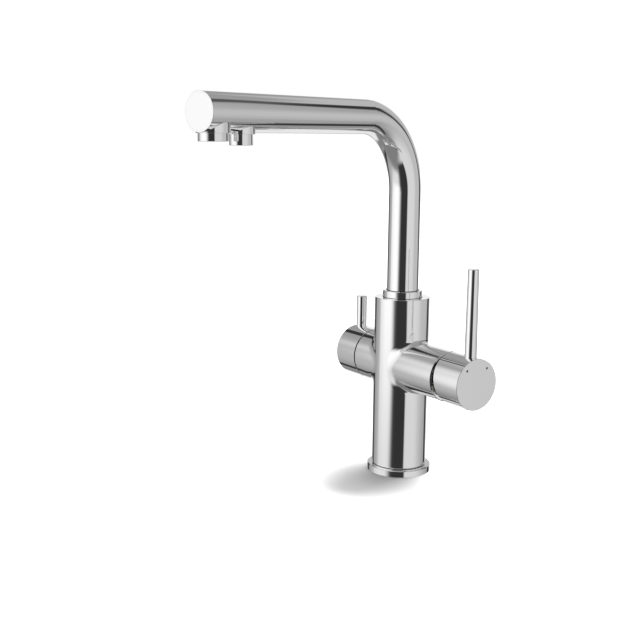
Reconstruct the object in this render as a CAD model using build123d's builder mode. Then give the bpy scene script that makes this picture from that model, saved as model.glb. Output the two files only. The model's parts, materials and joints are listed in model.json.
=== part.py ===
from build123d import *
import math
import os

# Three way filtered water tap, in millimetres.
# Z is up from the worktop, the mixer handle points along +X, the filtered water handle along -X,
# and the front of the tap is -Y. The origin is the middle of the base, on the worktop.

os.makedirs("parts", exist_ok=True)

# ---------------------------------------------------------------- driving sizes
# Column and base
column_margin = 2.4
column_top_z = 159.5
column_wall = 3.9
flange_ledge = 4.25
flange_rim = 1.85
flange_h = 5.8
spigot_wall = 2.1
spigot_lift = 0.8
gasket_land = 1.5
gasket_t = 2.2
core_top_z = 58.0
mixer_blend_r = 4.0
filter_blend_r = 4.0
edge_break = 0.6
foot_round = 1.4

# Side branches, both on one axis
side_axis_z = 99.5
mixer_wall = 2.25
mixer_branch_end = 67.0
filter_d = 46.6
filter_branch_end = 39.4

# Inlets and fixing under the column
inlet_thread_r = 4.5
inlet_thread_depth = 12.0
inlet_x = 7.0
inlet_spread = 8.5
filter_inlet_x = 8.5
mixed_riser_r = 4.0
stud_x = -6.5
stud_inset = 5.5
stud_thread_r = 3.4
stud_thread_depth = 22.0
stud_lug_r = 6.0
stud_lug_h = 30.0

# Spout
tube_d = 28.0
tube_wall = 1.2
spout_axis_z = 316.0
bend_r = 63.0
reach = 251.5
spout_rest_angle = 17.75
end_plug_t = 2.5
end_edge = 0.15
quarter_turn = 90
inner_tube_d = 8.0
inner_tube_wall = 1.0

# Spout seat in the column
collar_wall = 3.5
collar_h = 6.0
collar_thread_wall = 2.5
collar_skirt = 8.0
slide_ring_t = 1.4
shoulder_w = 1.5
shoulder_t = 4.0
stem_d = 24.0
stem_len = 23.0
socket_floor_gap = 1.5
plug_len = 11.0
o_ring_section_d = 2.2
o_ring_sides = 6
o_ring_groove_w = 2.6
o_ring_count = 3
o_ring_pitch = 8.0
first_o_ring_drop = 3.5
mixed_way_r = 1.8
mixed_way_pcd = 13.6
mixed_way_count = 6
gallery_hole_r = 1.2

# Outlets under the spout
mixed_outlet_back = 13.7
mixed_boss_wall = 2.0
mixed_boss_drop = 14.4
mixed_ring_edge = 0.65
mixed_ring_h = 5.6
mixed_thread_d = 20.2
filtered_outlet_back = 41.7
filtered_boss_wall = 1.0
filtered_boss_drop = 15.0
filtered_ring_edge = 0.6
filtered_ring_h = 7.8
filtered_thread_d = 15.8
filtered_sleeve_wall = 1.4
filtered_sleeve_top = 5.5
outlet_thread_len = 5.5
outlet_wall = 1.8
outlet_lip_t = 1.0
outlet_lip_w = 0.8
insert_h = 6.8
insert_cell_w = 2.0
insert_cell_rib = 0.5
insert_cell_depth = 3.0
washer_t = 1.5
washer_w = 2.6

# Mixer cartridge, measured along +X from the column's axis
cartridge_floor_x = 30.0
cartridge_d = 34.8
cartridge_base_t = 5.9
cartridge_len = 30.0
cartridge_wall = 2.7
cartridge_front_t = 2.5
cartridge_nose_d = 26.0
cartridge_nose_wall = 1.7
cartridge_nose_len = 5.5
port_spread = 8.5
port_drop = 4.5
port_rise = 7.0
port_r = 3.0
port_seal_w = 1.3
port_seal_t = 1.6
fixed_disc_t = 4.0
fixed_disc_play = 0.2
moving_disc_t = 6.0
moving_disc_d = 20.4
mixing_recess_r = 7.0
mixing_recess_depth = 1.4
ball_pocket_depth = 3.4
ball_play = 0.3
pivot_x = 55.0
pivot_pin_r = 1.5
pivot_pin_len = 21.0
ball_r = 2.7
stem_neck_r = 2.0
stem_neck_len = 3.2
stem_shank_r = 4.0
stem_shank_end = 66.0
stem_square = 7.4
stem_end = 84.0
carrier_slot_w = 8.8
carrier_slot_h = 17.0
nut_wall = 2.1
nut_undercut = 1.0
nut_h = 6.3
nut_notch_w = 5.0
nut_notch_depth = 2.0
nut_notch_count = 6

# Mixer handle
mixer_face_x = 100.4
mixer_gap_mid = 4.5
mixer_rear_slant = 8.25
mixer_hub_wall = 3.95
mixer_cavity_end = 79.0
mixer_boss_d = 16.0
mixer_boss_start = 72.0
mixer_lever_x = 91.8
mixer_lever_top_z = 194.7
mixer_lever_top_d = 9.2
mixer_lever_base_d = 10.2
mixer_grub_x = 81.5
mark_y = 10.8
mark_rise = 12.9
mark_d = 2.1
mark_t = 0.5

# Filtered water handle and its valve, measured along -X from the column's axis
filter_face_x = 68.6
filter_gap = 0.8
filter_hub_wall = 4.3
filter_cavity_end = 48.0
filter_lever_x = 61.0
filter_lever_top_z = 151.9
filter_lever_d = 9.4
filter_grub_x = 52.5
valve_seat_x = 13.0
valve_thread_d = 19.7
valve_flange_x = 34.0
valve_hex_w = 24.0
valve_hex_t = 5.0
valve_nose_d = 13.0
valve_nose_len = 6.0
valve_chamber_d = 15.6
valve_chamber_end = 24.5
valve_window_w = 5.0
valve_disc_t = 3.0
valve_seal_t = 1.3
valve_washer_t = 1.0
valve_spanner_room = 4.0
gallery_d = 25.0
gallery_start = 19.0
gallery_end = 26.0
spindle_r = 4.0
spindle_flat = 2.8
spindle_end = 57.0
spindle_foot_t = 3.0

# Levers, screws and fits shared by both handles
lever_seat_depth = 1.8
lever_spigot_wall = 1.0
lever_spigot_len = 12.0
lever_top_edge = 0.5
screw_shank_r = 2.0
screw_head_r = 2.7
screw_head_t = 2.2
screw_head_proud = 1.1
screw_bite = 6.0
screw_socket_w = 2.5
screw_socket_depth = 1.2
grub_len = 9.0
face_edge = 0.2
cut_over = 1.0
fit = 0.05
turning_fit = 0.08
axial_play = 0.1

# ---------------------------------------------------------------- sizes that follow
nut_bore_d = cartridge_d + 2 * nut_wall
mixer_d = nut_bore_d + 2 * mixer_wall
mixer_r = mixer_d / 2
filter_r = filter_d / 2
column_d = max(mixer_d, filter_d) + column_margin
column_r = column_d / 2
column_foot_z = flange_h
flange_d = column_d + 2 * flange_ledge
spigot_d = column_d - 2 * column_wall
core_d = spigot_d - 2 * spigot_wall
stud_y = core_d / 2 - stud_inset
gasket_outer_d = flange_d - 2 * flange_rim
gasket_inner_d = spigot_d + 2 * gasket_land

tube_r = tube_d / 2
tube_bore_r = tube_r - tube_wall
collar_d = tube_d + 2 * collar_wall
collar_thread_d = tube_d + 2 * collar_thread_wall
shoulder_d = tube_d + 2 * shoulder_w
tube_hole_r = mixed_thread_d / 2 + fit
sleeve_r = filtered_thread_d / 2 + filtered_sleeve_wall
mixed_outlet_x = reach - mixed_outlet_back
filtered_outlet_x = reach - filtered_outlet_back
mixed_boss_d = mixed_thread_d + 2 * mixed_boss_wall
filtered_boss_d = 2 * (sleeve_r + filtered_boss_wall)
mixed_ring_d = mixed_thread_d + 2 * mixed_ring_edge
filtered_ring_d = filtered_thread_d + 2 * filtered_ring_edge

collar_skirt_z = column_top_z - collar_skirt
upper_ring_z = collar_skirt_z - slide_ring_t
shoulder_top_z = upper_ring_z - axial_play
shoulder_z = shoulder_top_z - shoulder_t
lower_ring_z = shoulder_z - axial_play - slide_ring_t
stem_foot_z = shoulder_z - stem_len
socket_floor_z = stem_foot_z - socket_floor_gap
socket_r = stem_d / 2 + turning_fit
o_ring_z = [shoulder_z - first_o_ring_drop - i * o_ring_pitch for i in range(o_ring_count)]
gallery_z = (o_ring_z[0] + o_ring_z[1]) / 2

hot_port = (-port_spread, -port_drop)
cold_port = (port_spread, -port_drop)
mixed_port = (0.0, port_rise)
cartridge_bore_d = cartridge_d - 2 * cartridge_wall
cartridge_nose_bore_d = cartridge_nose_d - 2 * cartridge_nose_wall
fixed_disc_d = cartridge_bore_d - 2 * fixed_disc_play
cartridge_base_x = cartridge_floor_x + axial_play
fixed_disc_x = cartridge_base_x + cartridge_base_t
moving_disc_x = fixed_disc_x + fixed_disc_t + fit
moving_disc_end_x = moving_disc_x + moving_disc_t
ball_x = moving_disc_end_x - ball_pocket_depth + ball_r + ball_play
housing_front_x = fixed_disc_x + cartridge_len - cartridge_base_t
housing_wall_x = housing_front_x - cartridge_front_t
nose_end_x = housing_front_x + cartridge_nose_len
carrier_x = moving_disc_end_x + ball_play
mixer_cavity_d = mixer_d - 2 * mixer_hub_wall
filter_cavity_d = filter_d - 2 * filter_hub_wall
valve_recess_d = valve_hex_w + 2 * valve_spanner_room
lever_spigot_r = screw_shank_r + lever_spigot_wall

spout_angle = math.radians(spout_rest_angle)
spout_dir = (math.sin(spout_angle), -math.cos(spout_angle), 0)
across_spout = (-math.cos(spout_angle), -math.sin(spout_angle), 0)
spout_plane = Plane(origin=(0, 0, 0), x_dir=spout_dir, z_dir=across_spout)


def spout_point(distance, z):
    """A point over the spout's centre line, so far from the column's axis."""
    return (distance * spout_dir[0], distance * spout_dir[1], z)


def mixer_plane(x, y=0.0, rise=0.0):
    """Looks along +X: its own x is the tap's Y and its own y is up."""
    return Plane(origin=(x, y, side_axis_z + rise), x_dir=(0, 1, 0), z_dir=(1, 0, 0))


def filter_plane(x):
    """Looks along -X, at x millimetres out on the filter side."""
    return Plane(origin=(-x, 0, side_axis_z), x_dir=(0, -1, 0), z_dir=(-1, 0, 0))


mixer_profile = Plane(origin=(0, 0, side_axis_z), x_dir=(1, 0, 0), z_dir=(0, -1, 0))
side_axis = Axis((0, 0, side_axis_z), (1, 0, 0))


def cut_round(plane, radius, depth):
    """Bores a round hole from a plane, along the plane's normal."""
    with BuildSketch(plane) as mouth:
        Circle(radius)
    extrude(mouth.sketch, amount=depth, mode=Mode.SUBTRACT)


def add_round(plane, radius, length):
    """Adds a plain cylinder from a plane, along the plane's normal."""
    with BuildSketch(plane) as end:
        Circle(radius)
    extrude(end.sketch, amount=length)


def rims(piece, radius):
    """All round edges of one radius."""
    return piece.edges().filter_by(GeomType.CIRCLE).filter_by(lambda e: abs(e.radius - radius) < fit / 2)


def save(piece, node):
    """Names a finished piece and writes it."""
    piece.part.label = node
    export_step(piece.part, f"parts/{node}.step")


# ---------------------------------------------------------------- base
with BuildPart() as base_flange:
    add_round(Plane.XY, flange_d / 2, flange_h)
    chamfer(base_flange.edges().group_by(Axis.Z)[-1], edge_break)
    cut_round(Plane.XY, spigot_d / 2 + fit, flange_h)
    with BuildSketch(Plane.XY) as gasket_groove:
        Circle(gasket_outer_d / 2 + fit)
        Circle(gasket_inner_d / 2 - fit, mode=Mode.SUBTRACT)
    extrude(amount=gasket_t, mode=Mode.SUBTRACT)
save(base_flange, "base_flange")

with BuildPart() as base_gasket:
    with BuildSketch(Plane.XY):
        Circle(gasket_outer_d / 2)
        Circle(gasket_inner_d / 2, mode=Mode.SUBTRACT)
    extrude(amount=gasket_t)
save(base_gasket, "base_gasket")

# ---------------------------------------------------------------- body casting
with BuildPart() as body:
    # column and the two side branches, blended where they meet
    add_round(Plane.XY.offset(column_foot_z), column_r, column_top_z - column_foot_z)
    add_round(mixer_plane(0), mixer_r, mixer_branch_end)
    add_round(filter_plane(0), filter_r, filter_branch_end)
    meeting = body.edges().filter_by(lambda e: e.geom_type not in (GeomType.CIRCLE, GeomType.LINE))
    fillet(meeting.filter_by(lambda e: e.center().X > 0), mixer_blend_r)
    fillet(meeting.filter_by(lambda e: e.center().X < 0), filter_blend_r)
    chamfer(body.edges().filter_by(GeomType.CIRCLE).group_by(Axis.Z)[-1], face_edge)
    fillet(body.edges().filter_by(GeomType.CIRCLE).group_by(Axis.Z)[0], foot_round)
    chamfer(body.edges().filter_by(GeomType.CIRCLE).sort_by(Axis.X)[-1], edge_break)
    chamfer(body.edges().filter_by(GeomType.CIRCLE).sort_by(Axis.X)[0], edge_break)

    # spigot that centres the flange, and the open core that the inlet hoses rise through
    add_round(Plane.XY.offset(spigot_lift), spigot_d / 2, column_foot_z - spigot_lift)
    cut_round(Plane.XY, core_d / 2, core_top_z)
    with BuildSketch(Plane.XY.offset(spigot_lift)) as lug:
        with Locations((stud_x, stud_y)):
            Circle(stud_lug_r)
        Circle(core_d / 2 + fit, mode=Mode.INTERSECT)
    extrude(amount=stud_lug_h)
    cut_round(Plane(origin=(stud_x, stud_y, spigot_lift)), stud_thread_r, stud_thread_depth)

    # seat of the spout: collar thread, shoulder recess, then the sealed bore
    cut_round(Plane.XY.offset(collar_skirt_z), collar_thread_d / 2 + fit, collar_skirt)
    cut_round(Plane.XY.offset(lower_ring_z), shoulder_d / 2 + turning_fit, collar_skirt_z - lower_ring_z)
    cut_round(Plane.XY.offset(socket_floor_z), socket_r, lower_ring_z - socket_floor_z)

    # mixer branch: cartridge bore and the wider thread of its nut
    cut_round(mixer_plane(cartridge_floor_x), cartridge_d / 2 + fit, mixer_branch_end - cartridge_floor_x)
    nut_floor_x = housing_front_x - nut_undercut
    cut_round(mixer_plane(nut_floor_x), nut_bore_d / 2, mixer_branch_end - nut_floor_x)

    # filter branch: valve thread, gallery round the valve, recess for the valve's hexagon
    cut_round(filter_plane(valve_seat_x), valve_thread_d / 2 + fit, filter_branch_end - valve_seat_x)
    cut_round(filter_plane(gallery_start), gallery_d / 2, gallery_end - gallery_start)
    cut_round(filter_plane(valve_flange_x - valve_washer_t), valve_recess_d / 2, filter_branch_end)

    # inlets: threaded mouths, then risers to the two valves
    inlet_mouths = [(inlet_x, -inlet_spread), (inlet_x, inlet_spread), (-filter_inlet_x, 0)]
    for x, y in inlet_mouths:
        cut_round(Plane(origin=(x, y, core_top_z)), inlet_thread_r, inlet_thread_depth)
    riser_top_z = side_axis_z - port_drop
    for y in (-inlet_spread, inlet_spread):
        cut_round(Plane(origin=(inlet_x, y, core_top_z)), port_r, riser_top_z - core_top_z)
        cut_round(mixer_plane(inlet_x, y, -port_drop), port_r, cartridge_floor_x - inlet_x)
    cut_round(Plane(origin=(-filter_inlet_x, 0, core_top_z)), port_r, side_axis_z - core_top_z)
    cut_round(filter_plane(filter_inlet_x), port_r, valve_seat_x - filter_inlet_x)

    # outlets: mixed water up into the spout's bore, filtered water to the ring between its seals
    cut_round(mixer_plane(0, 0, port_rise), port_r, cartridge_floor_x)
    mixed_riser_z = side_axis_z + port_rise
    cut_round(Plane.XY.offset(mixed_riser_z), mixed_riser_r, socket_floor_z - mixed_riser_z)
    filter_riser_x = (column_r + socket_r) / 2
    filter_riser_z = side_axis_z + valve_thread_d / 2
    cut_round(Plane(origin=(-filter_riser_x, 0, filter_riser_z)), port_r, gallery_z - filter_riser_z)
    cut_round(
        Plane(origin=(-filter_riser_x, 0, gallery_z - port_r), z_dir=(1, 0, 0)),
        port_r / 2,
        filter_riser_x - socket_r + cut_over,
    )
save(body, "body")

# ---------------------------------------------------------------- spout seat
with BuildPart() as spout_collar:
    with BuildSketch(Plane.XZ):
        with BuildLine():
            Polyline(
                (tube_r + turning_fit, collar_skirt_z),
                (collar_thread_d / 2, collar_skirt_z),
                (collar_thread_d / 2, column_top_z),
                (collar_d / 2, column_top_z),
                (collar_d / 2, column_top_z + collar_h),
                (tube_r + turning_fit, column_top_z + collar_h),
                close=True,
            )
        make_face()
    revolve(axis=Axis.Z)
    chamfer(rims(spout_collar, collar_d / 2), edge_break / 2)
save(spout_collar, "spout_collar")

with BuildPart() as upper_slide_ring:
    with BuildSketch(Plane.XY.offset(upper_ring_z)):
        Circle(shoulder_d / 2)
        Circle(tube_r + turning_fit, mode=Mode.SUBTRACT)
    extrude(amount=slide_ring_t)
save(upper_slide_ring, "upper_slide_ring")

with BuildPart() as lower_slide_ring:
    with BuildSketch(Plane.XY.offset(lower_ring_z)):
        Circle(shoulder_d / 2)
        Circle(socket_r, mode=Mode.SUBTRACT)
    extrude(amount=slide_ring_t)
save(lower_slide_ring, "lower_slide_ring")

# ---------------------------------------------------------------- spout
o_ring_r = o_ring_section_d / 2
o_ring_centre_r = socket_r - fit - o_ring_r
groove_floor_r = o_ring_centre_r - o_ring_r - fit

with BuildPart() as spout_nipple:
    with BuildSketch(Plane.XZ):
        with BuildLine():
            Polyline(
                (0, stem_foot_z),
                (stem_d / 2, stem_foot_z),
                (stem_d / 2, shoulder_z),
                (shoulder_d / 2, shoulder_z),
                (shoulder_d / 2, shoulder_top_z),
                (tube_bore_r - fit, shoulder_top_z),
                (tube_bore_r - fit, shoulder_top_z + plug_len),
                (0, shoulder_top_z + plug_len),
                close=True,
            )
        make_face()
    revolve(axis=Axis.Z)
    chamfer(spout_nipple.edges().group_by(Axis.Z)[0], edge_break)
    # seal grooves, and between the upper two the ring that filtered water comes in by
    for z in o_ring_z + [gallery_z]:
        with BuildSketch(Plane.XY.offset(z - o_ring_groove_w / 2)) as groove:
            Circle(stem_d / 2)
            Circle(groove_floor_r, mode=Mode.SUBTRACT)
        extrude(groove.sketch, amount=o_ring_groove_w, mode=Mode.SUBTRACT)
    # mixed water passes through a ring of holes round the filtered water's own bore
    with BuildSketch(Plane.XY.offset(stem_foot_z)) as mixed_ways:
        with PolarLocations(mixed_way_pcd / 2, mixed_way_count):
            Circle(mixed_way_r)
    extrude(mixed_ways.sketch, amount=shoulder_top_z + plug_len - stem_foot_z, mode=Mode.SUBTRACT)
    nipple_top_z = shoulder_top_z + plug_len
    cut_round(Plane.XY.offset(gallery_z), inner_tube_d / 2 - inner_tube_wall, nipple_top_z - gallery_z)
    cut_round(Plane.XY.offset(shoulder_top_z), inner_tube_d / 2 + fit, plug_len)
    between_ways = math.radians(180 / mixed_way_count)
    cross = (math.cos(between_ways), math.sin(between_ways), 0)
    cross_start = (-stem_d / 2 * cross[0], -stem_d / 2 * cross[1], gallery_z)
    cut_round(Plane(origin=cross_start, z_dir=cross), gallery_hole_r, stem_d)
save(spout_nipple, "spout_nipple")

with BuildPart() as spout_o_rings:
    # flats inside and outside, where each ring is squeezed between its groove and the bore
    for z in o_ring_z:
        with BuildSketch(Plane.XZ) as section:
            with Locations((o_ring_centre_r, z)):
                RegularPolygon(o_ring_r, o_ring_sides, major_radius=False, rotation=180 / o_ring_sides)
        revolve(section.sketch, axis=Axis.Z)
save(spout_o_rings, "spout_o_rings")

with BuildPart() as spout_tube:
    with BuildLine(spout_plane) as spout_route:
        rise = Line((0, shoulder_top_z), (0, spout_axis_z - bend_r))
        bend = JernArc(start=rise @ 1, tangent=rise % 1, radius=bend_r, arc_size=-quarter_turn)
        Line(bend @ 1, (reach, spout_axis_z))
    with BuildSketch(Plane.XY.offset(shoulder_top_z)):
        Circle(tube_r)
        Circle(tube_bore_r, mode=Mode.SUBTRACT)
    sweep(path=spout_route.wire())
    chamfer(rims(spout_tube, tube_r).sort_by(lambda e: Vector(*spout_dir).dot(e.center()))[-1], end_edge)
    for distance, hole_r in ((mixed_outlet_x, tube_hole_r), (filtered_outlet_x, sleeve_r + fit)):
        cut_round(Plane(origin=spout_point(distance, spout_axis_z), z_dir=(0, 0, -1)), hole_r, tube_d)
save(spout_tube, "spout_tube")

with BuildPart() as spout_end_plug:
    plug_plane = Plane(origin=spout_point(reach - end_plug_t, spout_axis_z), z_dir=spout_dir)
    add_round(plug_plane, tube_bore_r - fit, end_plug_t)
save(spout_end_plug, "spout_end_plug")

with BuildPart() as filtered_water_tube:
    with BuildLine(spout_plane) as inner_route:
        rise = Line((0, shoulder_top_z), (0, spout_axis_z - bend_r))
        bend = JernArc(start=rise @ 1, tangent=rise % 1, radius=bend_r, arc_size=-quarter_turn)
        Line(bend @ 1, (filtered_outlet_x - filtered_thread_d / 2, spout_axis_z))
    with BuildSketch(Plane.XY.offset(shoulder_top_z)):
        Circle(inner_tube_d / 2)
        Circle(inner_tube_d / 2 - inner_tube_wall, mode=Mode.SUBTRACT)
    sweep(path=inner_route.wire())
save(filtered_water_tube, "filtered_water_tube")

# ---------------------------------------------------------------- outlets
def outlet_boss(distance, boss_d, drop, thread_d):
    """A short collar under the tube, coped to the tube's round and bored for the aerator's thread."""
    foot_z = spout_axis_z - drop
    with BuildPart() as boss:
        add_round(Plane(origin=spout_point(distance, foot_z)), boss_d / 2, drop)
        tube_start = Plane(origin=spout_point(distance - boss_d, spout_axis_z), z_dir=spout_dir)
        cut_round(tube_start, tube_r + fit / 2, 2 * boss_d)
        cut_round(Plane(origin=spout_point(distance, foot_z)), thread_d / 2 + fit, drop)
        chamfer(boss.edges().group_by(Axis.Z)[0].sort_by(SortBy.LENGTH)[-1], face_edge / 2)
    return boss


mixed_outlet_boss = outlet_boss(mixed_outlet_x, mixed_boss_d, mixed_boss_drop, mixed_thread_d)
save(mixed_outlet_boss, "mixed_outlet_boss")

filtered_boss_foot_z = spout_axis_z - filtered_boss_drop
filtered_collar = outlet_boss(filtered_outlet_x, filtered_boss_d, filtered_boss_drop, 2 * sleeve_r - 2 * fit)
with BuildPart() as filtered_outlet_boss:
    # a sleeve, closed at its top, carries filtered water through the mixed water's space
    add(filtered_collar.part)
    sleeve_foot = Plane(origin=spout_point(filtered_outlet_x, filtered_boss_foot_z))
    add_round(sleeve_foot, sleeve_r, filtered_boss_drop + filtered_sleeve_top)
    cut_round(
        sleeve_foot,
        filtered_thread_d / 2 + fit,
        filtered_boss_drop + filtered_sleeve_top - filtered_sleeve_wall,
    )
    pipe_end = Plane(origin=spout_point(filtered_outlet_x, spout_axis_z), z_dir=tuple(-c for c in spout_dir))
    cut_round(pipe_end, inner_tube_d / 2 + fit, tube_r)
save(filtered_outlet_boss, "filtered_outlet_boss")


def aerator(name, distance, drop, ring_d, ring_h, thread_d):
    """Screwed ring, honeycomb insert and washer of one outlet."""
    seat_z = spout_axis_z - drop
    foot_z = seat_z - ring_h
    bore_r = thread_d / 2 - outlet_wall
    foot = Plane(origin=spout_point(distance, foot_z))
    with BuildPart() as ring:
        add_round(foot, ring_d / 2, ring_h)
        chamfer(ring.edges().group_by(Axis.Z)[0], face_edge)
        add_round(Plane(origin=spout_point(distance, seat_z)), thread_d / 2, outlet_thread_len)
        cut_round(foot, bore_r - outlet_lip_w, ring_h + outlet_thread_len)
        above_lip = Plane(origin=spout_point(distance, foot_z + outlet_lip_t))
        cut_round(above_lip, bore_r, ring_h + outlet_thread_len)
    save(ring, f"{name}_aerator_ring")

    cell_pitch = insert_cell_w + insert_cell_rib
    cell_rings = int((bore_r - outlet_lip_w - insert_cell_w / 2) / cell_pitch)
    with BuildPart() as insert:
        add_round(above_lip, bore_r - fit, insert_h)
        with BuildSketch(above_lip) as cells:
            comb = HexLocations(cell_pitch / 2, 2 * cell_rings + 1, 2 * cell_rings + 1).local_locations
            comb_r = cell_rings * cell_pitch + insert_cell_rib
            with Locations(*[cell for cell in comb if cell.position.length < comb_r]):
                RegularPolygon(insert_cell_w / 2, 6, major_radius=False)
        extrude(cells.sketch, amount=insert_cell_depth, mode=Mode.SUBTRACT)
    save(insert, f"{name}_aerator_insert")

    with BuildPart() as washer:
        with BuildSketch(Plane(origin=spout_point(distance, seat_z + outlet_thread_len))):
            Circle(thread_d / 2 - fit)
            Circle(thread_d / 2 - washer_w, mode=Mode.SUBTRACT)
        extrude(amount=washer_t)
    save(washer, f"{name}_aerator_washer")


aerator("mixed", mixed_outlet_x, mixed_boss_drop, mixed_ring_d, mixed_ring_h, mixed_thread_d)
aerator(
    "filtered", filtered_outlet_x, filtered_boss_drop, filtered_ring_d, filtered_ring_h, filtered_thread_d
)

# ---------------------------------------------------------------- mixer cartridge, fixed pieces
ports = [hot_port, cold_port, mixed_port]

with BuildPart() as cartridge_base:
    add_round(mixer_plane(cartridge_base_x), cartridge_d / 2, cartridge_base_t)
    for y, rise in ports:
        port_mouth = mixer_plane(cartridge_base_x, y, rise)
        cut_round(port_mouth, port_r + port_seal_w + fit, port_seal_t - axial_play)
        cut_round(port_mouth, port_r, cartridge_base_t)
save(cartridge_base, "cartridge_base")

with BuildPart() as port_seals:
    for y, rise in ports:
        with BuildSketch(mixer_plane(cartridge_floor_x)) as seal:
            with Locations((y, rise)):
                Circle(port_r + port_seal_w)
                Circle(port_r, mode=Mode.SUBTRACT)
        extrude(seal.sketch, amount=port_seal_t)
save(port_seals, "port_seals")

with BuildPart() as fixed_ceramic_disc:
    add_round(mixer_plane(fixed_disc_x), fixed_disc_d / 2, fixed_disc_t)
    for y, rise in ports:
        cut_round(mixer_plane(fixed_disc_x, y, rise), port_r, fixed_disc_t)
save(fixed_ceramic_disc, "fixed_ceramic_disc")

with BuildPart() as cartridge_housing:
    add_round(mixer_plane(fixed_disc_x), cartridge_d / 2, housing_front_x - fixed_disc_x)
    chamfer(cartridge_housing.edges().group_by(Axis.X)[-1], edge_break)
    add_round(mixer_plane(housing_front_x), cartridge_nose_d / 2, cartridge_nose_len)
    cut_round(mixer_plane(fixed_disc_x), cartridge_bore_d / 2, housing_wall_x - fixed_disc_x)
    cut_round(mixer_plane(housing_wall_x), cartridge_nose_bore_d / 2, nose_end_x - housing_wall_x)
save(cartridge_housing, "cartridge_housing")

with BuildPart() as cartridge_nut:
    with BuildSketch(mixer_plane(housing_front_x)):
        Circle(nut_bore_d / 2 - fit)
        Circle(cartridge_nose_d / 2 + fit, mode=Mode.SUBTRACT)
    extrude(amount=nut_h)
    with BuildSketch(mixer_plane(housing_front_x + nut_h - nut_notch_depth)) as notches:
        with PolarLocations(nut_bore_d / 2, nut_notch_count):
            Rectangle(nut_notch_w, nut_notch_w)
    extrude(notches.sketch, amount=nut_notch_depth, mode=Mode.SUBTRACT)
save(cartridge_nut, "cartridge_nut")

# ---------------------------------------------------------------- mixer cartridge, moving pieces
with BuildPart() as moving_ceramic_disc:
    # the recess underneath joins the ports, the pocket above takes the stem's ball
    add_round(mixer_plane(moving_disc_x), moving_disc_d / 2, moving_disc_t)
    cut_round(mixer_plane(moving_disc_x), mixing_recess_r, mixing_recess_depth)
    cut_round(mixer_plane(moving_disc_end_x - ball_pocket_depth), ball_r + ball_play, ball_pocket_depth)
save(moving_ceramic_disc, "moving_ceramic_disc")

carrier_end_x = nose_end_x - edge_break
with BuildPart() as stem_carrier:
    add_round(mixer_plane(carrier_x), cartridge_bore_d / 2 - turning_fit, housing_wall_x - fit - carrier_x)
    add_round(mixer_plane(carrier_x), cartridge_nose_bore_d / 2 - turning_fit, carrier_end_x - carrier_x)
    with BuildSketch(mixer_plane(carrier_x)) as stem_slot:
        Rectangle(carrier_slot_w, carrier_slot_h)
    extrude(stem_slot.sketch, amount=carrier_end_x - carrier_x, mode=Mode.SUBTRACT)
    pin_start = Plane(origin=(pivot_x, -pivot_pin_len / 2, side_axis_z), z_dir=(0, 1, 0))
    cut_round(pin_start, pivot_pin_r, pivot_pin_len)
save(stem_carrier, "stem_carrier")

with BuildPart() as stem_pivot_pin:
    add_round(pin_start, pivot_pin_r, pivot_pin_len)
save(stem_pivot_pin, "stem_pivot_pin")

with BuildPart() as mixer_stem:
    with BuildSketch(mixer_profile):
        with Locations((ball_x, 0)):
            Circle(ball_r)
        Rectangle(2 * reach, tube_d, align=(Align.CENTER, Align.MAX), mode=Mode.SUBTRACT)
    revolve(axis=side_axis)
    add_round(mixer_plane(ball_x), stem_neck_r, stem_neck_len)
    shank_x = ball_x + stem_neck_len
    add_round(mixer_plane(shank_x), stem_shank_r, stem_shank_end - shank_x)
    with BuildSketch(mixer_plane(stem_shank_end)):
        RectangleRounded(stem_square, stem_square, edge_break)
    extrude(amount=stem_end - stem_shank_end)
    cut_round(pin_start, pivot_pin_r + fit, pivot_pin_len)
save(mixer_stem, "mixer_stem")


# ---------------------------------------------------------------- handles
def lever_pieces(name, x, hub_r, top_z, top_d, base_d):
    """The upright pin of a handle and the long screw that holds it from below."""
    seat_z = side_axis_z + hub_r - lever_seat_depth
    foot = Plane(origin=(x, 0, seat_z))
    with BuildPart() as lever:
        with BuildSketch(foot):
            Circle(base_d / 2)
        with BuildSketch(Plane(origin=(x, 0, top_z))):
            Circle(top_d / 2)
        loft()
        chamfer(lever.edges().group_by(Axis.Z)[-1], lever_top_edge)
        spigot_foot = Plane(origin=(x, 0, seat_z - lever_spigot_len))
        add_round(spigot_foot, lever_spigot_r, lever_spigot_len)
        cut_round(spigot_foot, screw_shank_r, screw_bite)
    save(lever, f"{name}_lever")

    head_z = side_axis_z - hub_r - screw_head_proud
    with BuildPart() as screw:
        head = Plane(origin=(x, 0, head_z))
        add_round(head, screw_head_r, screw_head_t)
        chamfer(screw.edges().group_by(Axis.Z)[0], screw_head_proud / 2)
        shank_z = head_z + screw_head_t
        shank_len = seat_z - lever_spigot_len + screw_bite - fit - shank_z
        add_round(Plane(origin=(x, 0, shank_z)), screw_shank_r, shank_len)
        with BuildSketch(head) as key:
            RegularPolygon(screw_socket_w / 2, 6, major_radius=False)
        extrude(key.sketch, amount=screw_socket_depth, mode=Mode.SUBTRACT)
    save(screw, f"{name}_lever_screw")


def cut_lever_seat(x, hub_r, base_d):
    """The hub's counterbored seat for the lever and the hole for its screw."""
    cut_round(Plane(origin=(x, 0, side_axis_z + hub_r - lever_seat_depth)), base_d / 2 + fit, hub_r)
    spigot_hole_z = side_axis_z + hub_r - lever_seat_depth - lever_spigot_len - fit
    cut_round(Plane(origin=(x, 0, spigot_hole_z)), lever_spigot_r + fit, hub_r)
    cut_round(Plane(origin=(x, 0, side_axis_z - hub_r - cut_over)), screw_shank_r + fit, 2 * hub_r)
    head_seat_z = side_axis_z - hub_r - screw_head_proud + screw_head_t
    cut_round(Plane(origin=(x, 0, head_seat_z), z_dir=(0, 0, -1)), screw_head_r + fit, hub_r)


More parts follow.
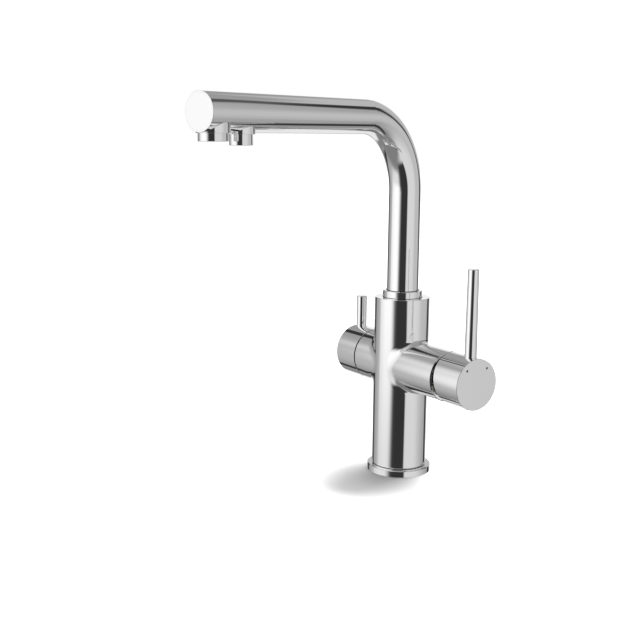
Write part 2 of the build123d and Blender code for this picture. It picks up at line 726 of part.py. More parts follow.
def grub_screw(name, x, tip_z):
    """A headless screw driven up against the spindle's flat."""
    with BuildPart() as grub:
        add_round(Plane(origin=(x, 0, tip_z - grub_len)), screw_shank_r - fit, grub_len)
        chamfer(grub.edges().group_by(Axis.Z)[-1], edge_break)
        with BuildSketch(Plane(origin=(x, 0, tip_z - grub_len))) as key:
            RegularPolygon(screw_socket_w / 2, 6, major_radius=False)
        extrude(key.sketch, amount=screw_socket_depth, mode=Mode.SUBTRACT)
    save(grub, f"{name}_grub_screw")


mixer_rear_x = mixer_branch_end + mixer_gap_mid
slant = math.radians(mixer_rear_slant)
marks = {"hot_mark": -mark_y, "cold_mark": mark_y}

with BuildPart() as mixer_hub:
    # the rear edge slants, so that the hub can tip towards its branch when the lever is drawn out
    add_round(mixer_plane(mixer_branch_end), mixer_r, mixer_face_x - mixer_branch_end)
    rear = Plane(origin=(mixer_rear_x, 0, side_axis_z), z_dir=(math.cos(slant), 0, math.sin(slant)))
    split(bisect_by=rear, keep=Keep.TOP)
    chamfer(mixer_hub.edges().group_by(Axis.X)[-1], face_edge)
    cut_round(mixer_plane(mixer_branch_end), mixer_cavity_d / 2, mixer_cavity_end - mixer_branch_end)
    add_round(mixer_plane(mixer_boss_start), mixer_boss_d / 2, mixer_cavity_end - mixer_boss_start)
    with BuildSketch(mixer_plane(mixer_boss_start)) as square_socket:
        Rectangle(stem_square + 2 * fit, stem_square + 2 * fit)
    extrude(square_socket.sketch, amount=stem_end + axial_play - mixer_boss_start, mode=Mode.SUBTRACT)
    cut_lever_seat(mixer_lever_x, mixer_r, mixer_lever_base_d)
    mixer_grub_hole = Plane(origin=(mixer_grub_x, 0, side_axis_z), z_dir=(0, 0, -1))
    cut_round(mixer_grub_hole, screw_shank_r, mixer_r + cut_over)
    for y in marks.values():
        cut_round(mixer_plane(mixer_face_x - mark_t, y, mark_rise), mark_d / 2, mark_t)
save(mixer_hub, "mixer_hub")

for node, y in marks.items():
    with BuildPart() as mark:
        add_round(mixer_plane(mixer_face_x - mark_t, y, mark_rise), mark_d / 2 - fit, mark_t)
    save(mark, node)

lever_pieces("mixer", mixer_lever_x, mixer_r, mixer_lever_top_z, mixer_lever_top_d, mixer_lever_base_d)
grub_screw("mixer", mixer_grub_x, side_axis_z - stem_square / 2 - fit)

filter_rear_x = filter_branch_end + filter_gap
with BuildPart() as filter_hub:
    add_round(filter_plane(filter_rear_x), filter_r, filter_face_x - filter_rear_x)
    chamfer(filter_hub.edges().group_by(Axis.X)[0], edge_break)
    chamfer(filter_hub.edges().group_by(Axis.X)[-1], face_edge)
    cut_round(filter_plane(filter_rear_x), filter_cavity_d / 2, filter_cavity_end - filter_rear_x)
    with BuildSketch(filter_plane(filter_cavity_end)) as spindle_socket:
        Circle(spindle_r + fit)
        with Locations((0, -spindle_flat - fit)):
            Rectangle(filter_d, filter_d, align=(Align.CENTER, Align.MAX), mode=Mode.SUBTRACT)
    extrude(spindle_socket.sketch, amount=spindle_end + axial_play - filter_cavity_end, mode=Mode.SUBTRACT)
    cut_lever_seat(-filter_lever_x, filter_r, filter_lever_d)
    filter_grub_hole = Plane(origin=(-filter_grub_x, 0, side_axis_z), z_dir=(0, 0, -1))
    cut_round(filter_grub_hole, screw_shank_r, filter_r + cut_over)
save(filter_hub, "filter_hub")

lever_pieces("filter", -filter_lever_x, filter_r, filter_lever_top_z, filter_lever_d, filter_lever_d)
grub_screw("filter", -filter_grub_x, side_axis_z - spindle_flat - fit)

# ---------------------------------------------------------------- filtered water valve
fixed_plate_x = valve_seat_x + valve_seal_t
turning_plate_x = fixed_plate_x + valve_disc_t + fit
spindle_foot_x = turning_plate_x + valve_disc_t
valve_housing_x = fixed_plate_x - fit

with BuildPart() as filter_seat_seal:
    with BuildSketch(filter_plane(valve_seat_x)):
        Circle(valve_thread_d / 2 - fit)
        Circle(port_r + port_seal_w, mode=Mode.SUBTRACT)
    extrude(amount=valve_seal_t - fit)
save(filter_seat_seal, "filter_seat_seal")

with BuildPart() as filter_valve_housing:
    add_round(filter_plane(valve_housing_x), valve_thread_d / 2, valve_flange_x - valve_housing_x)
    with BuildSketch(filter_plane(valve_flange_x)):
        RegularPolygon(valve_hex_w / 2, 6, major_radius=False)
    extrude(amount=valve_hex_t)
    add_round(filter_plane(valve_flange_x + valve_hex_t), valve_nose_d / 2, valve_nose_len)
    cut_round(filter_plane(valve_housing_x), valve_chamber_d / 2, valve_chamber_end - valve_housing_x)
    cut_round(
        filter_plane(valve_chamber_end),
        spindle_r + turning_fit,
        valve_flange_x + valve_hex_t + valve_nose_len - valve_chamber_end,
    )
    window_x = (gallery_start + valve_chamber_end) / 2
    with BuildSketch(Plane(origin=(-window_x, 0, side_axis_z - valve_thread_d))) as window:
        Rectangle(valve_window_w, valve_window_w)
    extrude(window.sketch, amount=2 * valve_thread_d, mode=Mode.SUBTRACT)
save(filter_valve_housing, "filter_valve_housing")

with BuildPart() as filter_flange_washer:
    with BuildSketch(filter_plane(valve_flange_x - valve_washer_t)):
        Circle(valve_hex_w / 2)
        Circle(valve_thread_d / 2 + fit, mode=Mode.SUBTRACT)
    extrude(amount=valve_washer_t)
save(filter_flange_washer, "filter_flange_washer")

with BuildPart() as filter_fixed_disc:
    with BuildSketch(filter_plane(fixed_plate_x)):
        Circle(valve_chamber_d / 2 - fit)
        with PolarLocations(valve_chamber_d / 4, 2, 0):
            Circle(port_r / 2, mode=Mode.SUBTRACT)
    extrude(amount=valve_disc_t)
save(filter_fixed_disc, "filter_fixed_disc")

with BuildPart() as filter_turning_disc:
    with BuildSketch(filter_plane(turning_plate_x)):
        Circle(valve_chamber_d / 2 - turning_fit)
        with PolarLocations(valve_chamber_d / 4, 2, quarter_turn):
            Circle(port_r / 2, mode=Mode.SUBTRACT)
    extrude(amount=valve_disc_t)
save(filter_turning_disc, "filter_turning_disc")

with BuildPart() as filter_spindle:
    add_round(filter_plane(spindle_foot_x), valve_chamber_d / 2 - turning_fit, spindle_foot_t)
    add_round(filter_plane(spindle_foot_x), spindle_r, spindle_end - spindle_foot_x)
    with BuildSketch(filter_plane(filter_cavity_end)) as flat:
        with Locations((0, -spindle_flat)):
            Rectangle(filter_d, filter_d, align=(Align.CENTER, Align.MAX))
    extrude(flat.sketch, amount=spindle_end - filter_cavity_end, mode=Mode.SUBTRACT)
save(filter_spindle, "filter_spindle")
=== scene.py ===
# %% [markdown]
# # A three way filtered water tap, dressed for its photograph
#
# The tap's construction comes ready made as a frame: every piece at its real size, riding on the body that
# moves it. This lesson gives it its looks. It sets up the camera and the studio, adds the few thin pieces
# that the construction leaves to it, and gives every piece a finish.
#
# Almost all that shows is polished chrome, and chrome has no colour of its own. It shows the room. So the
# studio matters more than any texture here, and it comes before the pieces.

# %% The frame
import json
import math

import bpy
from mathutils import Matrix, Quaternion, Vector, kdtree
from mathutils.geometry import interpolate_bezier


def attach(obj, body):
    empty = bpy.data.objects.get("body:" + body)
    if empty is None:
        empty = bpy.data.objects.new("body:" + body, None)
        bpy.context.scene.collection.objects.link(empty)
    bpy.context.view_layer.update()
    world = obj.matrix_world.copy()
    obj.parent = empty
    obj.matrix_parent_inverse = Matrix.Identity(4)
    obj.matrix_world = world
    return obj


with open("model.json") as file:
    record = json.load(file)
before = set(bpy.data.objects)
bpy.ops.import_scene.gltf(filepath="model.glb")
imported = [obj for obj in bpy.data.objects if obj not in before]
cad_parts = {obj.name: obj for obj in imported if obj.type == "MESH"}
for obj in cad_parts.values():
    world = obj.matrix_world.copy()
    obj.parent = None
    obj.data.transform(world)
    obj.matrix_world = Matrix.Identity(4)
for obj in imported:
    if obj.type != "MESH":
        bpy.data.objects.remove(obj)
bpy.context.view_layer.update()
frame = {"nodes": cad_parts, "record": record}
nodes = frame["nodes"]
MM = 0.001

# %% [markdown]
# ## The camera
#
# A camera is four facts: where it stands, where it looks, how far it leans, and its lens. They were worked
# out from round edges of the real tap, whose sizes are known: a circle seen from the side is an ellipse,
# and its two widths give the direction it is seen from. The lens is a short telephoto, as is usual for
# products, because it keeps upright lines nearly parallel.

# %% The camera
CAMERA_PLACE = Vector((696.1, -553.6, 301.4)) * MM
CAMERA_TURN = math.radians(56.68)
CAMERA_DIP = math.radians(10.07)
CAMERA_LEAN = math.radians(0.465)
CAMERA_LENS_MM = 57.81

bpy.ops.object.select_all(action="DESELECT")
bpy.ops.object.camera_add(location=CAMERA_PLACE)
camera = bpy.context.object
camera.name = "photo_camera"
camera.rotation_mode = "QUATERNION"
camera.rotation_quaternion = (
    Quaternion((0, 0, 1), CAMERA_TURN)
    @ Quaternion((1, 0, 0), math.radians(90) - CAMERA_DIP)
    @ Quaternion((0, 0, 1), CAMERA_LEAN)
)
camera.data.sensor_width = 36
camera.data.lens = CAMERA_LENS_MM
bpy.context.scene.camera = camera
print("camera", round(CAMERA_PLACE.length, 3), "m from the tap's foot")

# %% [markdown]
# ## Sums on nodes
#
# Shader maths is easier to read as sums than as boxes and wires. A Wire wraps one socket and knows plus,
# minus, times and divide, so `1 - mask` adds the Math node it needs. Every other node comes from one
# method, which sets the node's settings first, because they can change which sockets it has.

# %% Wires and graphs
class Wire:
    """One socket's value, which can be used in sums."""

    def __init__(self, graph, socket):
        self.graph = graph
        self.socket = socket

    def math(self, operation, *terms):
        return self.graph.node("ShaderNodeMath", {"operation": operation}, dict(enumerate(terms)))

    def __add__(self, other):
        return self.math("ADD", self, other)

    def __sub__(self, other):
        return self.math("SUBTRACT", self, other)

    def __rsub__(self, other):
        return self.math("SUBTRACT", other, self)

    def __mul__(self, other):
        return self.math("MULTIPLY", self, other)

    def __truediv__(self, other):
        return self.math("DIVIDE", self, other)

    __radd__ = __add__


class Graph:
    """The nodes of one material or world."""

    def __init__(self, owner):
        owner.use_nodes = True
        self.tree = owner.node_tree
        self.tree.nodes.clear()

    def node(self, kind, settings=None, sockets=None, output=0):
        made = self.tree.nodes.new(kind)
        for name, value in (settings or {}).items():
            setattr(made, name, value)
        for name, value in (sockets or {}).items():
            if isinstance(value, Wire):
                self.tree.links.new(value.socket, made.inputs[name])
            else:
                made.inputs[name].default_value = value
        return Wire(self, made.outputs[output]) if made.outputs else None

    def step(self, value, start, end):
        """Rises smoothly from 0 to 1 as value goes from start to end."""
        sockets = {"Value": value, "From Min": start, "From Max": end}
        return self.node("ShaderNodeMapRange", {"interpolation_type": "SMOOTHSTEP"}, sockets)

    def noise(self, place, scale, detail=2.0):
        sockets = {"Vector": place, "Scale": scale, "Detail": detail}
        return self.node("ShaderNodeTexNoise", None, sockets)

    def vector(self, operation, first, second, output=0):
        settings = {"operation": operation}
        return self.node("ShaderNodeVectorMath", settings, {0: first, 1: second}, output)

    def blend(self, share, colour, other):
        """One colour where share is 0, the other where it is 1."""
        sockets = {"Factor": share, "A": colour, "B": other}
        return self.node("ShaderNodeMix", {"data_type": "RGBA"}, sockets, "Result")

    def seen_by(self, kind):
        """1 for rays of one kind and 0 for all others."""
        return self.node("ShaderNodeLightPath", output=f"Is {kind} Ray")


print("sums and nodes are ready")

# %% [markdown]
# ## The studio
#
# Product photographers light chrome by what stands round it: big soft boxes give it its pale planes, and
# black flags give it the dark lines that make it look like metal. The photograph's strips tell where they
# stood. A strip seen at the side of an upright cylinder mirrors something at twice that angle round it.
#
# The boxes and flags are painted on the world, as far away as the walls of a big studio, so they look the
# same in every piece. Only mirror rays see them. Rays that leave a matt surface see an even, plain light.
# The camera sees white, and so would rays that pass through glass.

# %% Boxes and flags round the tap
ROOM_LEVEL = 0.34
# Each panel has a bearing from the camera, half its width and its soft edge, then a height, half its rise
# and its soft edge, all in degrees, and last its brightness. Each hangs in front of those above it here.
STUDIO = {
    "dim_floor": (0, 180, 1, -90, 34, 26, 0.22),
    "ceiling_box": (-95, 45, 25, 62, 12, 14, 0.6),
    "left_halo": (-100, 6, 34, 0, 24, 24, 0.5),
    "left_wall": (-88, 14.5, 8.5, 10, 8, 42, 0.88),
    "high_left_wall": (-92, 15.5, 14, 28, 4, 18, 0.8),
    "right_box": (40, 10, 75, -14, 40, 16, 0.71),
    "right_glow": (104, 2, 30, -2, 3, 18, 0.54),
    "low_key_box": (-70, 6, 34, -22, 8, 16, 0.79),
    "key_box": (-66, 6, 40, 11, 19, 12, 1.08),
    "low_wing": (-20, 8, 24, -30, 16, 12, 0.04),
    "flag_wing": (-19, 4, 22, -2, 32, 12, 0.04),
    "camera_flag": (-5, 17, 7, -2, 42, 8, 0.034),
    "left_seam": (-148, 5, 4, 14, 38, 8, 0.035),
    "low_left_seam": (-142, 3, 5, -33, 7, 4, 0.035),
    "left_back": (-168, 11, 4, -22, 20, 20, 0.24),
    "right_seam": (117.5, 1.5, 4, 20, 12, 5, 0.035),
    "mid_right_seam": (121.5, 2, 4, 3, 5, 5, 0.035),
    "lower_right_seam": (133, 6, 6, -14, 10, 6, 0.035),
    "high_right_seam": (122, 2.5, 5, 40, 12, 8, 0.035),
    "low_right_seam": (122, 2.5, 5, -42, 12, 8, 0.035),
    "dark_corner": (117, 6, 4, 40, 3, 4, 0.1),
    "back_panel": (146, 17, 5, 22, 16, 4, 0.5),
    "low_back_panel": (158, 9, 8, -10, 12, 6, 0.7),
    "backdrop": (180, 18, 8, 8, 3, 12, 0.92),
    "lit_floor": (170, 16, 8, -28, 11, 6, 0.85),
}
PLAIN_LIGHT = 0.22
BLACK = (0, 0, 0, 1)
WHITE = (1, 1, 1, 1)


def inside(graph, away, half, soft):
    """1 within half of a panel's middle, falling smoothly to 0 over its soft edge."""
    return 1 - graph.step(away, half, half + soft)


def level_direction(bearing):
    """The level unit vector at a bearing in degrees, where 0 points at the camera."""
    turn = math.radians(bearing) - math.radians(90) + CAMERA_TURN
    return Vector((math.cos(turn), math.sin(turn), 0.0))


world = bpy.data.worlds.new("studio")
bpy.context.scene.world = world
g = Graph(world)
sight = g.node("ShaderNodeTexCoord", output="Generated")
rise = g.node("ShaderNodeSeparateXYZ", None, {0: sight}, output="Z")
elevation = rise.math("ARCSINE", rise) * math.degrees(1)
flat_sight = g.vector("MULTIPLY", sight, (1, 1, 0))
level_sight = g.vector("NORMALIZE", flat_sight, (0, 0, 0))


def away_from_bearing(bearing):
    """The angle in degrees, level with the ground, between the line of sight and a bearing."""
    dot = g.vector("DOT_PRODUCT", level_sight, level_direction(bearing), "Value")
    return dot.math("ARCCOSINE", dot) * math.degrees(1)


mirrored = ROOM_LEVEL
for bearing, half, soft, height, half_height, soft_height, level in STUDIO.values():
    shade = inside(g, away_from_bearing(bearing), half, soft)
    above = elevation - height
    shade = shade * inside(g, above.math("ABSOLUTE", above), half_height, soft_height)
    mirrored = mirrored + shade * (level - mirrored)

mirror_ray = g.seen_by("Glossy")
plain = PLAIN_LIGHT + (g.seen_by("Camera") + g.seen_by("Transmission")) * (1 - PLAIN_LIGHT)
strength = mirror_ray * mirrored + (1 - mirror_ray) * plain
background = g.node("ShaderNodeBackground", None, {"Color": WHITE, "Strength": strength})
g.node("ShaderNodeOutputWorld", None, {"Surface": background})
print(len(STUDIO), "boxes and flags stand round the tap")

# %% [markdown]
# The floor is a wide pale sheet. It takes the tap's soft shadow, but mirror rays pass through it, because
# the photograph's dark strip runs down the column right to the base ring, so the flag reached the table.
# Away from the shadow the sheet glows a little, to the camera only: painted light, which washes the tap's
# shadow out there. The glow grows with the mean distance from two points, the tap's foot and the shadow's far
# end, so what it leaves dark is an oval.
# That keeps the sheet white out there, adds no light to the tap, and leaves the shadow where the photograph
# has it. The lamp is a sun with a very wide disc: it lights the whole sheet evenly, which a lamp near the tap
# can't do, and its shadow is as soft as a big window's.

# %% The floor and the key light
FLOOR_SIZE = 12.0
FLOOR_SINK = 0.2 * MM
FLOOR_COLOUR = (0.95, 0.95, 0.95, 1)
FLOOR_GRAIN_SCALE = 40.0
FLOOR_ROUGHNESS = 0.85
FLOOR_GRAIN_SPREAD = 0.1
FLOOR_GLOW = 0.65
GLOW_STARTS = 0.037
GLOW_FULL = 0.070
SHADOW_BEARING = -42
SHADOW_REACH = 0.075

bpy.ops.object.select_all(action="DESELECT")
bpy.ops.mesh.primitive_plane_add(size=FLOOR_SIZE, location=(0, 0, -FLOOR_SINK))
floor = bpy.context.object
floor.name = "floor"
floor.visible_glossy = False
paper = bpy.data.materials.new("white_paper")
g = Graph(paper)
place = g.node("ShaderNodeTexCoord", output="Object")
shadow_end = level_direction(SHADOW_BEARING) * SHADOW_REACH
from_foot, from_end = [g.vector("DISTANCE", place, end, "Value") for end in ((0, 0, 0), shadow_end)]
# painted light: the share of the camera-only glow, rising away from the oval round the shadow
painted_glow_share = g.step((from_foot + from_end) / 2, GLOW_STARTS, GLOW_FULL)
sheet = g.node(
    "ShaderNodeBsdfPrincipled",
    None,
    {
        "Base Color": FLOOR_COLOUR,
        "Roughness": g.noise(place, FLOOR_GRAIN_SCALE, detail=4.0) * FLOOR_GRAIN_SPREAD + FLOOR_ROUGHNESS,
        # painted light: a glow only the camera sees, which washes out the tap's shadow
        "Emission Color": g.blend(painted_glow_share * g.seen_by("Camera"), BLACK, WHITE),
        "Emission Strength": FLOOR_GLOW,
    },
)
g.node("ShaderNodeOutputMaterial", None, {"Surface": sheet})
floor.data.materials.append(paper)

SUN_BEARING = 148
SUN_HEIGHT = 58
SUN_SPREAD = 66
SUN_STRENGTH = 3.05
sun_rise = math.radians(SUN_HEIGHT)
to_sun = level_direction(SUN_BEARING) * math.cos(sun_rise) + Vector((0, 0, math.sin(sun_rise)))
bpy.ops.object.light_add(type="SUN", location=to_sun)
soft_sun = bpy.context.object
soft_sun.name = "soft_sun"
soft_sun.data.angle = math.radians(SUN_SPREAD)
soft_sun.data.energy = SUN_STRENGTH
soft_sun.rotation_mode = "QUATERNION"
soft_sun.rotation_quaternion = to_sun.to_track_quat("Z", "Y")
soft_sun.visible_glossy = False
print("floor", FLOOR_SIZE, "m, soft sun at bearing", SUN_BEARING)

# %% [markdown]
# ## The finishes
#
# Chrome is plated over polished brass. Its mirror is a few percent short of perfect: a fine haze from the
# last polishing wheel, and a slow waviness from the casting under it. Both come from noise in the
# piece's own space, so they stay put when a piece turns.

# %% Chrome
CHROME_COLOUR = (0.93, 0.925, 0.927, 1)
CHROME_HAZE = 0.045
HAZE_SPREAD = 0.03
HAZE_SCALE = 60.0
WAVE_SCALE = 30.0
WAVE_HEIGHT = 0.02 * MM


def finish(name):
    """A new material's graph and the piece's own space."""
    material = bpy.data.materials.new(name)
    graph = Graph(material)
    return material, graph, graph.node("ShaderNodeTexCoord", output="Object")


def surface(graph, **sockets):
    """Ends a graph with one principled surface. Socket names are written with underscores."""
    named = {name.replace("_", " "): value for name, value in sockets.items()}
    shader = graph.node("ShaderNodeBsdfPrincipled", None, named)
    graph.node("ShaderNodeOutputMaterial", None, {"Surface": shader})


def relief(graph, height, depth, strength=1.0):
    """A bump from a height between 0 and 1 and its depth in metres."""
    sockets = {"Height": height, "Distance": depth, "Strength": strength}
    return graph.node("ShaderNodeBump", None, sockets)


def polished_metal(name, colour, haze, wave=WAVE_HEIGHT):
    """A plated or polished metal, with a polishing haze and a slow waviness."""
    material, graph, place = finish(name)
    surface(
        graph,
        Base_Color=colour,
        Metallic=1.0,
        Roughness=graph.noise(place, HAZE_SCALE, detail=3.0) * HAZE_SPREAD + (haze - HAZE_SPREAD / 2),
        Normal=relief(graph, graph.noise(place, WAVE_SCALE, detail=0.0), wave),
    )
    return material


chrome = polished_metal("polished_chrome", CHROME_COLOUR, CHROME_HAZE)
print("chrome haze", CHROME_HAZE)

# %% [markdown]
# Inside the tap the metals are left as the lathe left them. Fine rings from the tool run round each piece,
# so the roughness follows a wave along the piece's length instead of a noise.

# %% Turned metals
TOOL_MARK_SCALE = 1500.0
TOOL_MARK_WARP = 2.0
TOOL_MARK_SPREAD = 0.12
TOOL_MARK_DEPTH = 0.01 * MM
TOOL_MARK_STRENGTH = 0.3
METAL_TONE_SCALE = 80.0


def turned_metal(name, colour, dull, haze):
    """A machined metal: two tones of one colour under fine tool marks."""
    material, graph, place = finish(name)
    marks = graph.node(
        "ShaderNodeTexWave",
        {"wave_type": "BANDS", "bands_direction": "DIAGONAL"},
        {"Vector": place, "Scale": TOOL_MARK_SCALE, "Distortion": TOOL_MARK_WARP, "Detail": 2.0},
        output="Fac",
    )
    surface(
        graph,
        Base_Color=graph.blend(graph.noise(place, METAL_TONE_SCALE), colour, dull),
        Metallic=1.0,
        Roughness=marks * TOOL_MARK_SPREAD + haze,
        Normal=relief(graph, marks, TOOL_MARK_DEPTH, TOOL_MARK_STRENGTH),
    )
    return material


brass = turned_metal("turned_brass", (0.80, 0.60, 0.30, 1), (0.70, 0.50, 0.24, 1), 0.22)
# The nickel is real, but its colour is set well below plated nickel's as painted shade for the shaded gap
# between branch and hub, where the nut sits.
nickel = turned_metal("shade_darkened_nickel", (0.34, 0.335, 0.32, 1), (0.26, 0.255, 0.245, 1), 0.3)
copper = turned_metal("drawn_copper", (0.80, 0.46, 0.32, 1), (0.62, 0.34, 0.24, 1), 0.25)
steel = turned_metal("stainless_steel", (0.62, 0.62, 0.63, 1), (0.52, 0.52, 0.54, 1), 0.2)
print("turned metals:", brass.name, nickel.name, copper.name, steel.name)

# %% [markdown]
# The rest is rubber, plastic, ceramic and enamel. None of them is a mirror, so each gets a slight change of
# colour over the piece, a roughness that varies, and the small relief of its moulding.

# %% Rubber, plastic, ceramic and enamel
MOULDED_TONE_SCALE = 120.0
GRAIN_SPREAD = 0.1


def moulded(name, colour, shade, rough, grain_scale, grain_depth):
    """A moulded or fired material with a fine grain."""
    material, graph, place = finish(name)
    grain = graph.noise(place, grain_scale, detail=4.0)
    surface(
        graph,
        Base_Color=graph.blend(graph.noise(place, MOULDED_TONE_SCALE), colour, shade),
        Roughness=grain * GRAIN_SPREAD + rough,
        Normal=relief(graph, grain, grain_depth),
    )
    return material


rubber = moulded("black_rubber", (0.03, 0.03, 0.03, 1), (0.05, 0.05, 0.05, 1), 0.6, 2500, 0.02 * MM)
slide_plastic = moulded("white_acetal", (0.86, 0.86, 0.84, 1), (0.8, 0.8, 0.77, 1), 0.35, 1800, 0.01 * MM)
cartridge_plastic = moulded("grey_nylon", (0.3, 0.32, 0.34, 1), (0.24, 0.26, 0.28, 1), 0.45, 1500, 0.02 * MM)
ceramic = moulded("lapped_ceramic", (0.9, 0.9, 0.87, 1), (0.84, 0.84, 0.8, 1), 0.12, 900, 0.004 * MM)
insert_plastic = moulded("pale_plastic", (0.72, 0.73, 0.73, 1), (0.6, 0.61, 0.62, 1), 0.3, 1500, 0.01 * MM)
enamel = moulded("dark_enamel", (0.075, 0.075, 0.078, 1), (0.06, 0.06, 0.062, 1), 0.25, 900, 0.005 * MM)
print("moulded finishes: 6")

# %% [markdown]
# ## Where the branches leave the column
#
# The body is one casting, and its wheel-polished surface flows from the column into each branch. A CAD
# fillet has one radius all the way round. The real blend is tight above and below a branch, where the two
# tubes meet squarely, and wide in front and behind, where they're nearly flush. In chrome that shows: the
# photograph has a slow fade there, and a fillet draws a hard line.
#
# So each root gets a thin sleeve of the same chrome, sunk into the casting along both hems. It's a grid
# rolled round the branch. Its points are placed in code, each section a Bezier curve that leaves the column
# and meets the branch along their surfaces, because no tool in edit mode rolls a blend whose radius
# changes. The inside of the sleeve is closed by three more rows, so it's a solid ring.

# %% One section of a root
COLUMN_R = 24.5 * MM
BRANCH_HEIGHT = 99.5 * MM
MIXER_BRANCH_R = 21.75 * MM
FILTER_BRANCH_R = 23.3 * MM
SKIN = 0.04 * MM
HEM = 2.4 * MM
HEM_SINK = 0.13 * MM
HEM_ROWS = 3
BLEND_ROWS = 18
TIGHT_BLEND = 4.3 * MM
MIXER_WIDE_BLEND = 25 * MM
FILTER_WIDE_BLEND = 30 * MM
BLEND_GROWTH = 6
HANDLE_SHARE = 0.41
LINING = 0.8 * MM


def root_section(turn, branch_r, wide_blend):
    """Points and normals of one section, from the column's hem to the branch's, for a branch along X."""
    column_r, branch_r = COLUMN_R + SKIN, branch_r + SKIN
    ball = TIGHT_BLEND + (wide_blend - TIGHT_BLEND) * abs(math.sin(turn)) ** BLEND_GROWTH
    across = Vector((0, math.sin(turn), math.cos(turn)))
    centre = across * (branch_r + ball)
    centre.x = math.sqrt((column_r + ball) ** 2 - centre.y**2)
    column_out = Vector((centre.x, centre.y, 0)).normalized()
    start = column_out * column_r + Vector((0, 0, centre.z))
    end = across * branch_r + Vector((centre.x, 0, 0))
    chord = end - start
    leave = (chord - column_out * chord.dot(column_out)).normalized()
    arrive = (chord - across * chord.dot(across)).normalized()
    handle = chord.length * HANDLE_SHARE
    points, normals = [], []
    for row in range(HEM_ROWS, 0, -1):
        share = row / HEM_ROWS
        spot = start - leave * (HEM * share)
        out = Vector((spot.x, spot.y, 0)).normalized()
        points.append(out * (column_r - HEM_SINK * share**2) + Vector((0, 0, spot.z)))
        normals.append(out)
    curve = interpolate_bezier(start, start + leave * handle, end - arrive * handle, end, BLEND_ROWS)
    points += curve
    normals += [column_out] + [None] * (BLEND_ROWS - 2) + [across]
    for row in range(1, HEM_ROWS + 1):
        share = row / HEM_ROWS
        spot = end + arrive * (HEM * share)
        out = Vector((0, spot.y, spot.z)).normalized()
        points.append(out * (branch_r - HEM_SINK * share**2) + Vector((spot.x, 0, 0)))
        normals.append(out)
    return points, normals


tight = root_section(0, MIXER_BRANCH_R, MIXER_WIDE_BLEND)[0]
print("section above the branch spans", round((tight[-1] - tight[0]).length / MM, 1), "mm")

# %% [markdown]
# A grid primitive gives the faces. Column i of the grid is one section, at its turn round the branch, and
# each row runs along the section. The last column falls on the first, and merging by distance closes it.
# The normals come from the same sums as the points, so the mirror image is as smooth as the surface.

# %% The two sleeves
ROOT_TURNS = 160
LINING_ROWS = 3
HALF_GRID = 0.5
SAME_SPOT = 0.001 * MM


def branch_root(name, side, branch_r, wide_blend):
    sections = [root_section(math.tau * i / ROOT_TURNS, branch_r, wide_blend) for i in range(ROOT_TURNS)]
    rows = len(sections[0][0])
    placed = kdtree.KDTree(ROOT_TURNS * rows)
    outward = []
    lining = []
    to_world = Matrix.Translation((0, 0, BRANCH_HEIGHT)) @ Matrix.Diagonal((side, 1, 1, 1))
    for i, (points, normals) in enumerate(sections):
        before, after = sections[i - 1][0], sections[(i + 1) % ROOT_TURNS][0]
        for j in range(rows):
            if normals[j] is None:
                normals[j] = (after[j] - before[j]).cross(points[j + 1] - points[j - 1]).normalized()
                if normals[j].dot(normals[j - 1]) < 0:
                    normals[j].negate()
            outward.append(Vector((normals[j].x * side, normals[j].y, normals[j].z)))
            placed.insert(to_world @ points[j], len(outward) - 1)
        lining.append([points[j] - normals[j] * LINING for j in (rows - 1, rows // 2, 0)])
    placed.balance()

    bpy.ops.object.select_all(action="DESELECT")
    all_rows = rows + LINING_ROWS
    bpy.ops.mesh.primitive_grid_add(x_subdivisions=ROOT_TURNS, y_subdivisions=all_rows, size=2 * HALF_GRID)
    sleeve = bpy.context.object
    sleeve.name = name
    for vertex in sleeve.data.vertices:
        i = round((vertex.co.x + HALF_GRID) * ROOT_TURNS) % ROOT_TURNS
        j = round((vertex.co.y + HALF_GRID) * all_rows) % all_rows
        spot = sections[i][0][j] if j < rows else lining[i][j - rows]
        vertex.co = to_world @ spot
    bpy.ops.object.mode_set(mode="EDIT")
    bpy.ops.mesh.select_all(action="SELECT")
    bpy.ops.mesh.remove_doubles(threshold=SAME_SPOT)
    bpy.ops.mesh.normals_make_consistent(inside=False)
    bpy.ops.object.mode_set(mode="OBJECT")
    bpy.ops.object.shade_smooth()
    shading = []
    for vertex in sleeve.data.vertices:
        _, index, distance = placed.find(vertex.co)
        shading.append(outward[index] if distance < SAME_SPOT else Vector((0, 0, 0)))
    sleeve.data.normals_split_custom_set_from_vertices(shading)
    sleeve.data.materials.append(chrome)
    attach(sleeve, "tap_body")
    return sleeve


mixer_root = branch_root("mixer_branch_root", 1, MIXER_BRANCH_R, MIXER_WIDE_BLEND)
filter_root = branch_root("filter_branch_root", -1, FILTER_BRANCH_R, FILTER_WIDE_BLEND)
print("sleeve faces", len(mixer_root.data.polygons), len(filter_root.data.polygons))

# %% [markdown]
# ## Dark lips of painted shade in the joints
#
# Where two chromed pieces meet, the photograph has a thin dark line, the shade in the joint. Here that shade
# is painted: a black rubber lip is laid in each joint. A torus is the right start for a lip. It is squashed
# in edit mode, so that it sits in the corner as a moulded lip does, and doesn't bulge like a bare ring.

# %% Three lips of painted shade
LIP_THICKNESS = 0.42 * MM
LIP_SQUASH = 0.75
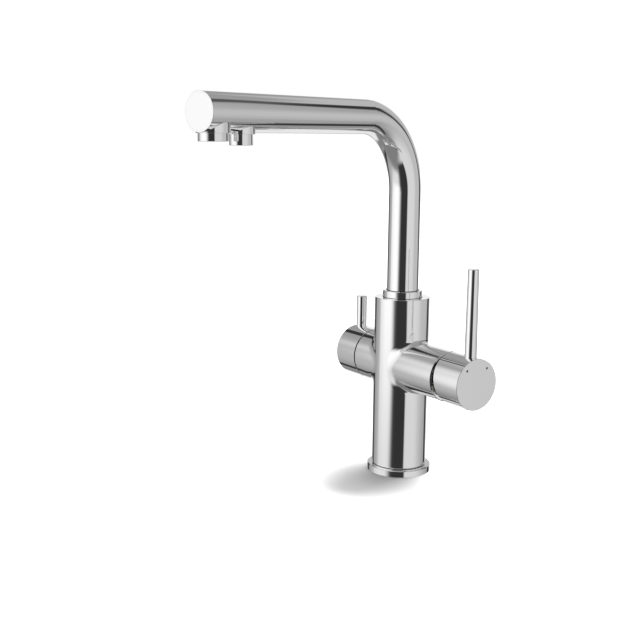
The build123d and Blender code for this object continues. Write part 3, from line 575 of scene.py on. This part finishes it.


# Each lip is black rubber laid in a joint as painted shade, standing in for the dark line of shade in the
# gap.
def shade_lip(name, radius, height):
    bpy.ops.object.select_all(action="DESELECT")
    bpy.ops.mesh.primitive_torus_add(
        major_radius=radius,
        minor_radius=LIP_THICKNESS,
        major_segments=128,
        minor_segments=12,
        location=(0, 0, height),
    )
    lip = bpy.context.object
    lip.name = name
    bpy.ops.object.mode_set(mode="EDIT")
    bpy.ops.mesh.select_all(action="SELECT")
    bpy.ops.transform.resize(value=(1, 1, LIP_SQUASH), center_override=(0, 0, height))
    bpy.ops.object.mode_set(mode="OBJECT")
    bpy.ops.object.transform_apply(location=True)
    bpy.ops.object.shade_smooth()
    lip.data.materials.append(rubber)
    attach(lip, "tap_body")
    return lip


COLLAR_TOP, RISER_LIP_R = 165.5 * MM, 14.25 * MM
COLLAR_FOOT, COLLAR_LIP_R = 159.5 * MM, 17.45 * MM
FLANGE_TOP, FOOT_LIP_R = 5.8 * MM, 23.6 * MM
FOOT_LIP_LIFT = 0.2 * MM
lips = [
    shade_lip("riser_shade_lip", RISER_LIP_R, COLLAR_TOP),
    shade_lip("collar_shade_lip", COLLAR_LIP_R, COLLAR_FOOT),
    shade_lip("column_foot_shade_lip", FOOT_LIP_R, FLANGE_TOP + FOOT_LIP_LIFT),
]
print("painted shade lips", [lip.name for lip in lips])

# %% [markdown]
# ## Dressing the frame
#
# The record says which slot each piece belongs to, so the finishes go on by slot and no piece is missed.

# %% Finishes by slot
FINISH_OF_SLOT = {
    "chrome": chrome,
    "brass": brass,
    "nickel": nickel,
    "copper": copper,
    "steel": steel,
    "rubber": rubber,
    "slide_plastic": slide_plastic,
    "cartridge_plastic": cartridge_plastic,
    "ceramic": ceramic,
    "insert_plastic": insert_plastic,
    "mark": enamel,
}
for part in frame["record"]["subparts"]:
    piece = nodes[part["node"]]
    piece.data.materials.clear()
    piece.data.materials.append(FINISH_OF_SLOT[part["material_slot"]])

# %% [markdown]
# ## The view transform, and the end
#

# %% The view transform
bpy.context.scene.view_settings.view_transform = "Standard"
